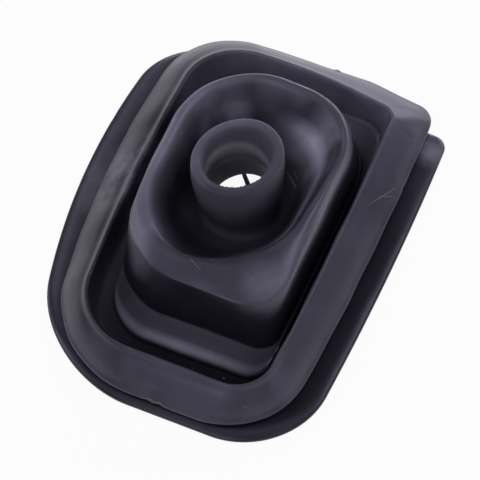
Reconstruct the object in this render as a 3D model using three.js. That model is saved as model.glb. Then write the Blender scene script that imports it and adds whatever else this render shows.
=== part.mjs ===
import * as THREE from 'three';

// Gear lever gaiter, one rubber moulding with no inserts. Millimetres, +Z up.
// +Y is the rear edge, -Y the front edge, z = 0 is the underside of the lower flange.
// The rubber is a skin that runs from the lower flange over a drooping upper flange,
// down into a well, up a dome, over its crest, down to a valley and up the neck.

// Mesh fineness
const POINTS_AROUND = 80;
const CORNER_CROWDING = 0.7;

// Neck that grips the lever
const NECK_X = 0.9;
const NECK_Y = 5.8;
const BORE_RADIUS = 12.2;
const BORE_FLARE = 2;
const BORE_STEP = 0.8;
const BORE_STEP_Z = 27;
const NECK_WALL = 4.5;
const NECK_WAIST = 2.2;
const NECK_BULGE = 0.3;
const MOUTH_Z = 46.6;
const MOUTH_RISE_RIGHT = 0.21;
const MOUTH_RISE_REAR = 0.04;

// The bore leans: its lower end and the neck's root stand further right than the mouth
const BORE_END_RISE = 4.5;
const BORE_SHIFT = 2.2;
const ROOT_SHIFT = 1.2;
const ROOT_RISE = 3.4;

// Skin thickness of the dome and its folds; the hollow under the crest is this much lower
const SKIN = 3;
const ROOF_DROP = 2.4;
const ROOF_EDGE = 2.4;

// Dome over its crest; the neck's middle stands this far from its left and front sides
const DOME_WIDTH = 63;
const DOME_LENGTH = 84.4;
const CREST_LEFT = 31;
const CREST_FRONT = 37.8;

// Valley round the neck and crest round the valley
const VALLEY_Z = 15;
const VALLEY_ROOM = 3.6;
const VALLEY_ROOM_REAR = 7;
const CREST_Z = 32;
const CREST_ROLL_LEFT = 3.8;
const CREST_ROLL_RIGHT = 2.6;
const CREST_ROLL_FRONT = 2.2;
const CREST_ROLL_REAR = 3.4;

// Dome wall below the crest
const SHOULDER_Z = 28;
const SHOULDER_LEFT = 2.2;
const SHOULDER_RIGHT = 1.6;
const SHOULDER_FRONT = 8.2;
const SHOULDER_REAR = 2.5;
const DRAFT_SIDE = 2.2;
const DRAFT_FRONT = 4.7;
const DRAFT_REAR = 2.5;

// The top of the dome falls to the right; rise per millimetre of the crest, the shoulder
// and the hollow below them
const CREST_LEAN = -0.035;
const SHOULDER_LEAN = -0.05;
const ROOF_LEAN = -0.12;

// Ledge at the foot of the dome, deep at the front and slight elsewhere
const LEDGE_RISE = 3.6;
const LEDGE_FRONT = 11;
const LEDGE_SIDE = 0.9;
const LEDGE_REAR = 1.2;

// Well floor and the wall that climbs to the ridge
const BASE_THICKNESS = 3.2;
const FLOOR_SIDE = 1.2;
const FLOOR_FRONT = 6.4;
const FLOOR_REAR = 5.8;
const RIDGE_Z = 18;
const RIDGE_SIDE = 2.6;
const RIDGE_FRONT = 4.6;
const RIDGE_REAR = 4.4;

// Upper flange: a skirt that droops from the ridge to its lip
const SKIRT_LEFT = 13.6;
const SKIRT_RIGHT = 12.4;
const SKIRT_FRONT = 11;
const SKIRT_REAR = 11.5;
const SKIRT_CROWN = 0.9;
const LIP_Z = 4.2;
const LIP_THICKNESS = 2.8;

// Groove for the panel edge, between the skirt and the lower flange
const GROOVE_WALL = 4.4;
const GROOVE_TOP_Z = 9;

// Lower flange, measured from the lip above it
const FLANGE_LEFT = 9.2;
const FLANGE_RIGHT = 8.2;
const FLANGE_FRONT = 2.4;
const FLANGE_REAR_OVERHANG = 3.7;
const FLANGE_REAR_SLANT = 3.5;
const FLANGE_BEVEL = 4.2;
const FLANGE_EDGE = 2.4;

// The sides bow outwards; each bow is the setback 60 mm away from its widest point.
// The slant is how far the rear edge runs out of square over the same 60 mm.
const BOW_SPAN = 60;
const BOW_LEFT_Y = 18;
const BOW_RIGHT_Y = 40;
const CREST_BOW_RIGHT = 6;
const SHOULDER_BOW_LEFT = 5.5;
const SHOULDER_BOW_RIGHT = 0.5;
const FOOT_BOW_LEFT = 7;
const FOOT_BOW_RIGHT = 0.8;
const WELL_BOW_LEFT = 2.7;
const WELL_BOW_RIGHT = 0.8;
const LIP_BOW_LEFT = 5;
const LIP_BOW_RIGHT = 1.5;
const FLANGE_BOW_LEFT = 7.2;

// Corner radii: front left, front right, rear right, rear left
const VALLEY_CORNERS = [18, 18, 19, 19];
const CREST_CORNERS = [27, 31, 23, 31];
const CREST_INNER_CORNERS = [26, 29, 21, 28];
const SHOULDER_CORNERS = [23, 17, 25, 34];
const FOOT_CORNERS = [19, 8, 24, 30];
const LEDGE_CORNERS = [14, 8, 24, 26];
const WELL_CORNERS = [20, 13, 10, 17];
const RIDGE_CORNERS = [22, 14, 6, 21];
const LIP_CORNERS = [33, 28, 7, 26];
const FLANGE_CORNERS = [36, 30, 5, 25];

// An outline is a rounded box seen from above, corners listed front left, front right,
// rear right, rear left.
function outline(left, right, front, rear, corners, bowLeft = 0, bowRight = 0, slant = 0) {
  return { left, right, front, rear, corners, bowLeft, bowRight, slant };
}

// Outline whose four sides stand further out than those of another one.
function outside(o, left, right, front, rear, corners, bowLeft, bowRight, slant) {
  return outline(o.left - left, o.right + right, o.front - front, o.rear + rear, corners,
    bowLeft, bowRight, slant);
}

function inset(o, d) {
  const corners = o.corners.map((r) => Math.max(r - d, 1));
  return outline(o.left + d, o.right - d, o.front + d, o.rear - d, corners,
    o.bowLeft, o.bowRight, o.slant);
}

function mix(a, b, t) {
  const part = (p, q) => p + (q - p) * t;
  const corners = a.corners.map((r, i) => part(r, b.corners[i]));
  return outline(part(a.left, b.left), part(a.right, b.right), part(a.front, b.front),
    part(a.rear, b.rear), corners, part(a.bowLeft, b.bowLeft), part(a.bowRight, b.bowRight),
    part(a.slant, b.slant));
}

// Outline that keeps each side of the first one unless the second stands further out there.
function clearOf(a, b) {
  return outline(Math.min(a.left, b.left), Math.max(a.right, b.right), Math.min(a.front, b.front),
    Math.max(a.rear, b.rear), a.corners, a.bowLeft, a.bowRight, a.slant);
}

// Outline that keeps each side of the first one unless it stands beyond the second.
function within(a, b) {
  return outline(Math.max(a.left, b.left), Math.min(a.right, b.right), Math.max(a.front, b.front),
    Math.min(a.rear, b.rear), a.corners, a.bowLeft, a.bowRight, a.slant);
}

// Circle of the neck, moved to the right by its shift.
function circle(r, shift = 0) {
  const x = NECK_X + shift;
  return outline(x - r, x + r, NECK_Y - r, NECK_Y + r, [r, r, r, r]);
}

// How far a rounded corner cuts into the side at height y.
function cornerCut(y, end, radius, towards) {
  const depth = radius - (y - end) * towards;
  return depth > 0 ? radius - Math.sqrt(Math.max(radius ** 2 - depth ** 2, 0)) : 0;
}

function contains(o, x, y) {
  const rearY = y + (o.slant * x) / BOW_SPAN;
  if (y < o.front || rearY > o.rear) return false;
  const [frontLeft, frontRight, rearRight, rearLeft] = o.corners;
  const bow = (size, at) => size * ((y - at) / BOW_SPAN) ** 2;
  const left = o.left + bow(o.bowLeft, BOW_LEFT_Y)
    + cornerCut(y, o.front, frontLeft, 1) + cornerCut(rearY, o.rear, rearLeft, -1);
  const right = o.right - bow(o.bowRight, BOW_RIGHT_Y)
    - cornerCut(y, o.front, frontRight, 1) - cornerCut(rearY, o.rear, rearRight, -1);
  return x > left && x < right;
}

// Angles shared by all loops, closer together at the corners.
const angles = [];
for (let k = 0; k < POINTS_AROUND; k += 1) {
  const u = (2 * Math.PI * k) / POINTS_AROUND;
  angles.push(u + (CORNER_CROWDING * Math.sin(4 * u)) / 4);
}

// Point of an outline on the ray that leaves its middle at one angle.
function pointOn(o, angle) {
  const cx = (o.left + o.right) / 2;
  const cy = (o.front + o.rear) / 2;
  const dx = ((o.right - o.left) / 2) * Math.cos(angle);
  const dy = ((o.rear - o.front) / 2) * Math.sin(angle);
  let inner = 0;
  let outer = 1.6;
  for (let i = 0; i < 40; i += 1) {
    const middle = (inner + outer) / 2;
    if (contains(o, cx + dx * middle, cy + dy * middle)) inner = middle;
    else outer = middle;
  }
  return [cx + dx * inner, cy + dy * inner];
}

// Outlines of the moulding from the neck outwards
const NECK_RADIUS = BORE_RADIUS + NECK_WALL;
const neck = circle(NECK_RADIUS);
const neckRoot = circle(NECK_RADIUS - NECK_WAIST, ROOT_SHIFT);
const bore = circle(BORE_RADIUS);
const boreStep = circle(BORE_RADIUS - BORE_STEP, BORE_SHIFT * 0.3);
const boreLow = circle(BORE_RADIUS - BORE_STEP, BORE_SHIFT);
const valley = outside(neckRoot, VALLEY_ROOM, VALLEY_ROOM, VALLEY_ROOM, VALLEY_ROOM_REAR,
  VALLEY_CORNERS);
const domeLeft = NECK_X - CREST_LEFT;
const domeFront = NECK_Y - CREST_FRONT;
const crest = outline(domeLeft, domeLeft + DOME_WIDTH, domeFront, domeFront + DOME_LENGTH,
  CREST_CORNERS, 0, CREST_BOW_RIGHT);
const crestInner = outside(crest, -CREST_ROLL_LEFT, -CREST_ROLL_RIGHT, -CREST_ROLL_FRONT,
  -CREST_ROLL_REAR, CREST_INNER_CORNERS, 0, CREST_BOW_RIGHT);
const shoulder = outside(crest, SHOULDER_LEFT, SHOULDER_RIGHT, SHOULDER_FRONT, SHOULDER_REAR,
  SHOULDER_CORNERS, SHOULDER_BOW_LEFT, SHOULDER_BOW_RIGHT);
const foot = outside(shoulder, DRAFT_SIDE, DRAFT_SIDE, DRAFT_FRONT, DRAFT_REAR,
  FOOT_CORNERS, FOOT_BOW_LEFT, FOOT_BOW_RIGHT);
const ledge = outside(foot, LEDGE_SIDE, LEDGE_SIDE, LEDGE_FRONT, LEDGE_REAR,
  LEDGE_CORNERS, FOOT_BOW_LEFT, FOOT_BOW_RIGHT);
const wellBase = outside(ledge, FLOOR_SIDE, FLOOR_SIDE, FLOOR_FRONT, FLOOR_REAR,
  WELL_CORNERS, WELL_BOW_LEFT, WELL_BOW_RIGHT);
const ridge = outside(wellBase, RIDGE_SIDE, RIDGE_SIDE, RIDGE_FRONT, RIDGE_REAR,
  RIDGE_CORNERS, WELL_BOW_LEFT, WELL_BOW_RIGHT);
const lip = outside(ridge, SKIRT_LEFT, SKIRT_RIGHT, SKIRT_FRONT, SKIRT_REAR,
  LIP_CORNERS, LIP_BOW_LEFT, LIP_BOW_RIGHT);
const grooveFoot = inset(wellBase, -GROOVE_WALL);
const grooveTop = inset(grooveFoot, -0.9);
const flange = outside(lip, FLANGE_LEFT, FLANGE_RIGHT, FLANGE_FRONT,
  grooveFoot.rear + FLANGE_REAR_OVERHANG - lip.rear, FLANGE_CORNERS,
  FLANGE_BOW_LEFT, LIP_BOW_RIGHT, FLANGE_REAR_SLANT);

// Section of the rubber as [outline, height, rise to the right, rise to the rear], the two
// rises per millimetre from the middle of the neck.
const floorZ = BASE_THICKNESS;
const ledgeZ = floorZ + LEDGE_RISE;
const section = [];
const add = (shape, z, lean = 0, riseRear = 0) => section.push([shape, z, lean, riseRear]);
const addNeck = (shape, z, share) => {
  add(shape, z, MOUTH_RISE_RIGHT * share, MOUTH_RISE_REAR * share);
};

// Lower flange, outer edge and bevelled top
add(inset(flange, 0.7), 0);
add(flange, 0.7);
add(flange, FLANGE_EDGE - 0.6);
add(inset(flange, 0.7), FLANGE_EDGE);
add(clearOf(inset(flange, FLANGE_BEVEL), inset(grooveFoot, -FLANGE_REAR_OVERHANG * 0.7)), floorZ);

// Groove and the underside of the skirt
add(inset(grooveFoot, -0.6), floorZ);
add(grooveFoot, floorZ + 0.7);
add(grooveTop, GROOVE_TOP_Z);
add(inset(grooveTop, -1.4), GROOVE_TOP_Z + 1.1);
add(inset(lip, LIP_THICKNESS * 0.9), LIP_Z + 0.7);
add(inset(lip, LIP_THICKNESS * 0.45), LIP_Z);

// Lip and the upper face of the skirt, slightly crowned
const lipTop = inset(lip, LIP_THICKNESS * 0.3);
const lipTopZ = LIP_Z + LIP_THICKNESS;
add(lip, LIP_Z + LIP_THICKNESS * 0.3);
add(lip, LIP_Z + LIP_THICKNESS * 0.7);
add(lipTop, lipTopZ);
for (const t of [0.3, 0.6, 0.85]) {
  const rise = lipTopZ + (RIDGE_Z - 0.6 - lipTopZ) * t;
  add(mix(lipTop, ridge, t), rise + SKIRT_CROWN * 4 * t * (1 - t));
}

// Ridge, well wall and well floor
add(inset(ridge, -0.5), RIDGE_Z - 0.1);
add(inset(ridge, 0.3), RIDGE_Z);
add(inset(ridge, 0.9), RIDGE_Z - 0.7);
add(mix(ridge, wellBase, 0.5), (RIDGE_Z + floorZ) / 2);
add(inset(wellBase, -0.3), floorZ + 1.6);
add(inset(wellBase, 0.3), floorZ + 0.3);
add(inset(ledge, -0.5), floorZ);

// Ledge and dome wall up to the shoulder
add(ledge, floorZ + 0.6);
add(mix(ledge, foot, 0.02), ledgeZ - 2);
add(mix(ledge, foot, 0.09), ledgeZ - 0.75);
add(mix(ledge, foot, 0.22), ledgeZ - 0.1);
add(mix(ledge, foot, 0.45), ledgeZ + 0.15);
add(inset(foot, -0.1), ledgeZ + 0.4);
add(inset(foot, 0.2), ledgeZ + 1.6);
for (const t of [0.4, 0.75, 0.975]) {
  add(mix(foot, shoulder, t ** 1.15), ledgeZ + (SHOULDER_Z - ledgeZ) * t, SHOULDER_LEAN * t);
}
add(inset(shoulder, 0.1), SHOULDER_Z + 0.08, SHOULDER_LEAN);
add(inset(shoulder, 0.7), SHOULDER_Z + 0.45, SHOULDER_LEAN);

// Crest and the slope into the valley
const fallZ = CREST_Z - SHOULDER_Z;
const crestInnerZ = CREST_Z - 2.2;
add(mix(shoulder, crest, 0.5), SHOULDER_Z + fallZ * 0.56, (SHOULDER_LEAN + CREST_LEAN) / 2);
add(crest, CREST_Z, CREST_LEAN);
add(mix(crest, crestInner, 0.5), CREST_Z - 0.5, CREST_LEAN);
add(crestInner, crestInnerZ, CREST_LEAN);
for (const t of [0.3, 0.6, 0.85]) {
  const drop = (crestInnerZ - VALLEY_Z) * (t + 0.5 * t * (1 - t));
  add(mix(crestInner, valley, t), crestInnerZ - drop, CREST_LEAN * (1 - t));
}
add(inset(valley, 1.2), VALLEY_Z);

// Neck, rim and bore
const neckHeight = MOUTH_Z - VALLEY_Z;
add(inset(neckRoot, -0.5), VALLEY_Z + 0.9);
add(neckRoot, VALLEY_Z + ROOT_RISE);
addNeck(mix(neckRoot, neck, 0.7), VALLEY_Z + neckHeight * 0.35, 0.3);
addNeck(inset(neck, -NECK_BULGE), VALLEY_Z + neckHeight * 0.68, 0.65);
addNeck(neck, MOUTH_Z - 0.9, 1);
addNeck(inset(neck, 0.5), MOUTH_Z - 0.1, 1);
addNeck(inset(neck, 1.5), MOUTH_Z, 1);
addNeck(inset(bore, -BORE_FLARE), MOUTH_Z - 0.3, 1);
addNeck(inset(bore, -BORE_FLARE * 0.45), MOUTH_Z - 1.2, 1);
addNeck(inset(bore, -BORE_FLARE * 0.1), MOUTH_Z - 3.4, 1);
addNeck(bore, BORE_STEP_Z + 1.2, 0.8);
addNeck(boreStep, BORE_STEP_Z, 0.8);
addNeck(boreLow, VALLEY_Z + BORE_END_RISE, 0.8);
addNeck(inset(boreLow, -0.8), VALLEY_Z + 1.2, 0.4);

// Hollow side of the skin, below the valley, inside the crest and down the dome wall
const roofZ = CREST_Z - SKIN - ROOF_DROP;
const hollowTopZ = roofZ - ROOF_EDGE;
add(inset(valley, 0.2), VALLEY_Z - SKIN);
for (const t of [0.2, 0.5, 0.8]) {
  const climb = (roofZ - 1.6 - (VALLEY_Z - SKIN)) * (t - 0.2 * t * (1 - t));
  const slope = inset(mix(valley, crestInner, t), -SKIN * 0.85);
  add(within(slope, inset(shoulder, SKIN + 0.8)), VALLEY_Z - SKIN + climb, ROOF_LEAN * t);
}
add(within(inset(crest, 1.1), inset(shoulder, SKIN + 0.8)), roofZ, ROOF_LEAN);
add(within(inset(crest, -0.2), inset(shoulder, SKIN + 0.2)), roofZ, ROOF_LEAN);
add(inset(shoulder, SKIN - 0.2), hollowTopZ, ROOF_LEAN * 0.7);
for (const t of [0.35, 0.7]) {
  add(inset(mix(foot, shoulder, (1 - t) ** 1.4), SKIN), hollowTopZ - (hollowTopZ - ledgeZ) * t,
    ROOF_LEAN * 0.5 * (1 - t));
}
add(inset(foot, SKIN), LEDGE_RISE + 0.4);
add(inset(ledge, SKIN), LEDGE_RISE - 0.4);
add(inset(ledge, SKIN - 0.2), 0.6);
add(inset(ledge, SKIN - 0.8), 0);

function gaiterGeometry() {
  const positions = [];
  const index = [];
  const loops = section.length;
  for (const [shape, z, lean, riseRear] of section) {
    for (const angle of angles) {
      const [x, y] = pointOn(shape, angle);
      positions.push(x, y, z + lean * (x - NECK_X) + riseRear * (y - NECK_Y));
    }
  }
  for (let i = 0; i < loops; i += 1) {
    for (let k = 0; k < POINTS_AROUND; k += 1) {
      const next = (k + 1) % POINTS_AROUND;
      const above = ((i + 1) % loops) * POINTS_AROUND;
      const here = i * POINTS_AROUND;
      index.push(here + k, here + next, above + next);
      index.push(here + k, above + next, above + k);
    }
  }
  const geometry = new THREE.BufferGeometry();
  geometry.setAttribute('position', new THREE.Float32BufferAttribute(positions, 3));
  geometry.setIndex(index);
  geometry.computeVertexNormals();
  return geometry;
}

const rubber = new THREE.MeshStandardMaterial({ color: 0x2b2a33, roughness: 0.55, metalness: 0 });
const gaiter = new THREE.Mesh(gaiterGeometry(), rubber);
gaiter.name = 'gaiter';

const part = new THREE.Group();
part.name = 'gear_lever_gaiter';
part.add(gaiter);

export default part;
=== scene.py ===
import math

import bpy
import numpy as np
from mathutils import Matrix, Vector
from mathutils.bvhtree import BVHTree


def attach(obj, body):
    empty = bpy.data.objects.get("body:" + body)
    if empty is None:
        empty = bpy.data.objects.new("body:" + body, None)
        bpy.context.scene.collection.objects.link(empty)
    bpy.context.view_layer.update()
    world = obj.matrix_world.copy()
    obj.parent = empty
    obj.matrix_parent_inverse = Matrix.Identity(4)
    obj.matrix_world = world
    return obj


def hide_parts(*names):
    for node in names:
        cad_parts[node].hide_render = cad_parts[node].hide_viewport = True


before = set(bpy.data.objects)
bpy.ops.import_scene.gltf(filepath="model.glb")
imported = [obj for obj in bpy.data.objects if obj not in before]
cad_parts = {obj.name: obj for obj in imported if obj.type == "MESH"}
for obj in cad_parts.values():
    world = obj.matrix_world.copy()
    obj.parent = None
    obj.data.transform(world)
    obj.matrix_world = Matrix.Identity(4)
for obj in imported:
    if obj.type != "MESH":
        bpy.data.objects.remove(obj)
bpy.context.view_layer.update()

MM = 0.001
WHITE = (1, 1, 1, 1)

# Sizes of the moulding in millimetres, the same as in the part's source. +Y is the rear edge, and
# z = 0 is the underside of the lower flange.

# Neck that grips the lever, with a tilted mouth and a leaning bore
NECK_X, NECK_Y = 0.9, 5.8
BORE_RADIUS = 12.2
BORE_FLARE = 2.0
BORE_STEP = 0.8
BORE_STEP_Z = 27.0
BORE_END_RISE = 4.5
BORE_SHIFT = 2.2
ROOT_SHIFT = 1.2
ROOT_RISE = 3.4
NECK_WALL = 4.5
NECK_WAIST = 2.2
NECK_BULGE = 0.3
MOUTH_Z = 46.6
MOUTH_RISE_RIGHT = 0.21
MOUTH_RISE_REAR = 0.04

# Skin thickness of the dome; the hollow under the crest is lower by the drop and the edge
SKIN = 3.0
ROOF_DROP = 2.4
ROOF_EDGE = 2.4

# Dome over its crest, and the valley round the neck
DOME_WIDTH, DOME_LENGTH = 63.0, 84.4
CREST_LEFT, CREST_FRONT = 31.0, 37.8
CREST_Z = 32.0
CREST_ROLL_LEFT, CREST_ROLL_RIGHT, CREST_ROLL_FRONT, CREST_ROLL_REAR = 3.8, 2.6, 2.2, 3.4
CREST_ROLL_DROP = 2.2
VALLEY_Z = 15.0
VALLEY_ROOM, VALLEY_ROOM_REAR = 3.6, 7.0

# Dome wall below the crest
SHOULDER_Z = 28.0
SHOULDER_LEFT, SHOULDER_RIGHT, SHOULDER_FRONT, SHOULDER_REAR = 2.2, 1.6, 8.2, 2.5
DRAFT_SIDE, DRAFT_FRONT, DRAFT_REAR = 2.2, 4.7, 2.5

# Rise of the crest, the shoulder and the hollow per millimetre to the right
CREST_LEAN = -0.035
SHOULDER_LEAN = -0.05
ROOF_LEAN = -0.12

# Ledge at the foot of the dome, the floor of the well and the wall up to the ridge
LEDGE_RISE = 3.6
LEDGE_FRONT, LEDGE_SIDE, LEDGE_REAR = 11.0, 0.9, 1.2
BASE_THICKNESS = 3.2
FLOOR_SIDE, FLOOR_FRONT, FLOOR_REAR = 1.2, 6.4, 5.8
RIDGE_Z = 18.0
RIDGE_SIDE, RIDGE_FRONT, RIDGE_REAR = 2.6, 4.6, 4.4

# Upper flange, a skirt that droops from the ridge to its lip, and the groove below it
SKIRT_LEFT, SKIRT_RIGHT, SKIRT_FRONT, SKIRT_REAR = 13.6, 12.4, 11.0, 11.5
SKIRT_CROWN = 0.9
LIP_Z = 4.2
LIP_THICKNESS = 2.8
GROOVE_WALL = 4.4
GROOVE_TOP_Z = 9.0
GROOVE_TAPER = 0.9

# Lower flange, measured from the lip above it
FLANGE_LEFT, FLANGE_RIGHT, FLANGE_FRONT = 9.2, 8.2, 2.4
FLANGE_REAR_OVERHANG = 3.7
FLANGE_REAR_SLANT = 3.5
FLANGE_BEVEL = 4.2
FLANGE_EDGE = 2.4
FLANGE_ROUND = 0.7

# The sides bow outwards; each bow is the setback one span away from the widest point
BOW_SPAN = 60.0
BOW_LEFT_Y, BOW_RIGHT_Y = 18.0, 40.0
CREST_BOW_RIGHT = 6.0
SHOULDER_BOW_LEFT, SHOULDER_BOW_RIGHT = 5.5, 0.5
FOOT_BOW_LEFT, FOOT_BOW_RIGHT = 7.0, 0.8
WELL_BOW_LEFT, WELL_BOW_RIGHT = 2.7, 0.8
LIP_BOW_LEFT, LIP_BOW_RIGHT = 5.0, 1.5
FLANGE_BOW_LEFT = 7.2

# Corner radii: front left, front right, rear right, rear left
VALLEY_CORNERS = [18, 18, 19, 19]
CREST_CORNERS = [27, 31, 23, 31]
CREST_INNER_CORNERS = [26, 29, 21, 28]
SHOULDER_CORNERS = [23, 17, 25, 34]
FOOT_CORNERS = [19, 8, 24, 30]
LEDGE_CORNERS = [14, 8, 24, 26]
WELL_CORNERS = [20, 13, 10, 17]
RIDGE_CORNERS = [22, 14, 6, 21]
LIP_CORNERS = [33, 28, 7, 26]
FLANGE_CORNERS = [36, 30, 5, 25]

# Fineness of the visual mesh; each span between two rows gets this many steps at least and at most
POINTS_AROUND = 360
CORNER_CROWDING = 0.7
ROW_LENGTH = 1.1
FEWEST_STEPS, MOST_STEPS = 2, 7

# Search for the outline on a ray: number of halvings, and where it starts in half sizes
TRACE_HALVINGS = 34
TRACE_START = 1.6

# Added to lengths before a division, so that none is zero
TINY_SPAN, TINY = 1e-6, 1e-9

# Painted light and shade on the left, front, right, rear and rear right: 0 is the black rubber
# of shaded faces, 1 is paler, as on a lit face, and above 1 is paler still, a painted highlight.
# The rear right is at this angle in degrees and fades by this power.
UNDERSIDE_PAINTED_LIGHT = (0.3, 0.3, 0.3, 0.3, 0.0)
REAR_RIGHT = 54.0
SIDE_FADE, REAR_RIGHT_FADE = 2, 8


def ramp(value, start, end):
    """0 at the start, 1 at the end and straight between the two."""
    return np.clip((value - start) / (end - start), 0, 1)


class Outline:
    """Rounded box seen from above; corners are front left, front right, rear right, rear left."""

    def __init__(self, left, right, front, rear, corners, bow_left=0.0, bow_right=0.0, slant=0.0):
        self.left, self.right, self.front, self.rear = left, right, front, rear
        self.corners = list(corners)
        self.bow_left, self.bow_right, self.slant = bow_left, bow_right, slant

    def values(self):
        return np.array([self.left, self.right, self.front, self.rear, *self.corners,
                         self.bow_left, self.bow_right, self.slant])


def from_values(v):
    """Outline from the numbers that Outline.values gives."""
    return Outline(v[0], v[1], v[2], v[3], v[4:8], v[8], v[9], v[10])


def outside(o, left, right, front, rear, corners, bow_left=0.0, bow_right=0.0, slant=0.0):
    """Outline further out by its own amount on each side, with corners and bows of its own."""
    return Outline(o.left - left, o.right + right, o.front - front, o.rear + rear, corners,
                   bow_left, bow_right, slant)


def inset(o, d):
    """Outline a distance further in, or further out where the distance is negative."""
    corners = [max(r - d, 1.0) for r in o.corners]
    return Outline(o.left + d, o.right - d, o.front + d, o.rear - d, corners,
                   o.bow_left, o.bow_right, o.slant)


def mix(a, b, t):
    """Outline a share of the way from the first to the second."""
    return from_values(a.values() + (b.values() - a.values()) * t)


def clear_of(a, b):
    """Outline that keeps each side of the first one, or takes the second's where it is wider."""
    return Outline(min(a.left, b.left), max(a.right, b.right), min(a.front, b.front),
                   max(a.rear, b.rear), a.corners, a.bow_left, a.bow_right, a.slant)


def within(a, b):
    """Outline that keeps each side of the first one, or takes the second's where it is narrower."""
    return Outline(max(a.left, b.left), min(a.right, b.right), max(a.front, b.front),
                   min(a.rear, b.rear), a.corners, a.bow_left, a.bow_right, a.slant)


def circle(r, shift=0.0):
    """Round outline about the neck's middle, or shifted to its right."""
    return Outline(NECK_X + shift - r, NECK_X + shift + r, NECK_Y - r, NECK_Y + r, [r, r, r, r])


def corner_cut(y, end, radius, towards):
    """How far a round corner at that end sets the side back."""
    depth = radius - (y - end) * towards
    cut = radius - np.sqrt(np.maximum(radius ** 2 - depth ** 2, 0.0))
    return np.where(depth > 0, cut, 0.0)


def contains(o, x, y):
    """Whether points lie inside the outline."""
    rear_y = y + o.slant * x / BOW_SPAN
    front_left, front_right, rear_right, rear_left = o.corners
    left = (o.left + o.bow_left * ((y - BOW_LEFT_Y) / BOW_SPAN) ** 2
            + corner_cut(y, o.front, front_left, 1) + corner_cut(rear_y, o.rear, rear_left, -1))
    right = (o.right - o.bow_right * ((y - BOW_RIGHT_Y) / BOW_SPAN) ** 2
             - corner_cut(y, o.front, front_right, 1) - corner_cut(rear_y, o.rear, rear_right, -1))
    return (y >= o.front) & (rear_y <= o.rear) & (x > left) & (x < right)


def trace(o, angles):
    """Points of the outline on the rays that leave its middle."""
    cx, cy = (o.left + o.right) / 2, (o.front + o.rear) / 2
    dx = (o.right - o.left) / 2 * np.cos(angles)
    dy = (o.rear - o.front) / 2 * np.sin(angles)
    inner, outer = np.zeros_like(angles), np.full_like(angles, TRACE_START)
    for _ in range(TRACE_HALVINGS):
        middle = (inner + outer) / 2
        inside = contains(o, cx + dx * middle, cy + dy * middle)
        inner = np.where(inside, middle, inner)
        outer = np.where(inside, outer, middle)
    return cx + dx * inner, cy + dy * inner


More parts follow.
